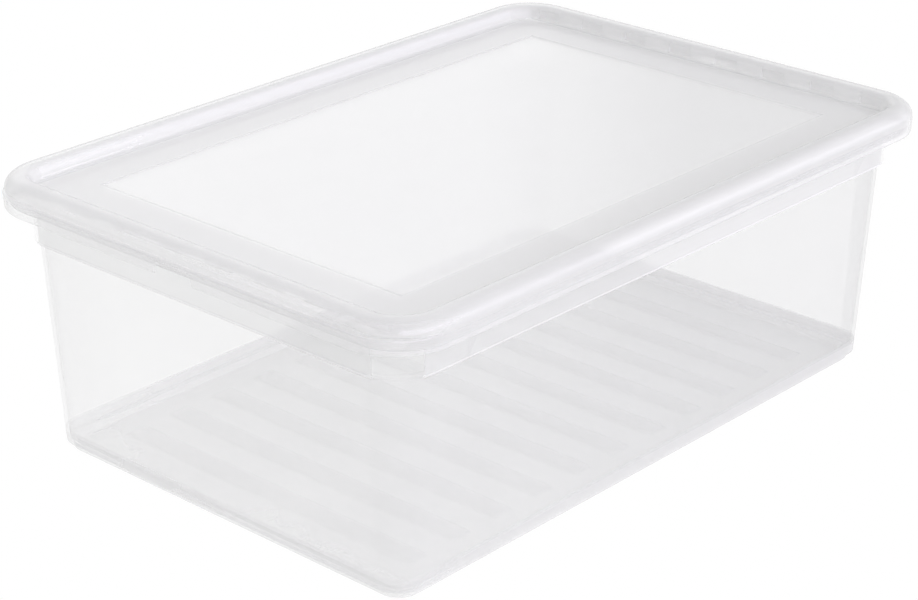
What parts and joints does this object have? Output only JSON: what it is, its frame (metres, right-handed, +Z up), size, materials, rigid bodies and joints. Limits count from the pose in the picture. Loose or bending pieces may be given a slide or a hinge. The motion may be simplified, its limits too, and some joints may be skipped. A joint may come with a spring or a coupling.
{
  "type": "lidded storage box",
  "caption": "Clear rectangular storage tub with drafted walls, ribbed floor and shoulder band, and a push-on lid with a rounded rim, finger notches and a clear window.",
  "frame": {"origin": "centre of the underside of the foot, on the surface the box stands on", "axes": "+Z up through the lid, +X along the long side, +Y along the short side"},
  "size_m": [0.39, 0.27, 0.14],
  "materials": {
    "tub": "clear, slightly milky moulded plastic with a polished face and a frosted ribbed floor",
    "lid": "milky moulded plastic, frosted round a clear polished window"
  },
  "bodies": {
    "tub": {"tub": "tub"},
    "lid": {"lid": "lid"}
  },
  "joints": [
    {"name": "lid_lift", "type": "slide", "parent": "tub", "child": "lid", "axis": [0, 0, 1], "range_m": [0, 0.08]}
  ]
}
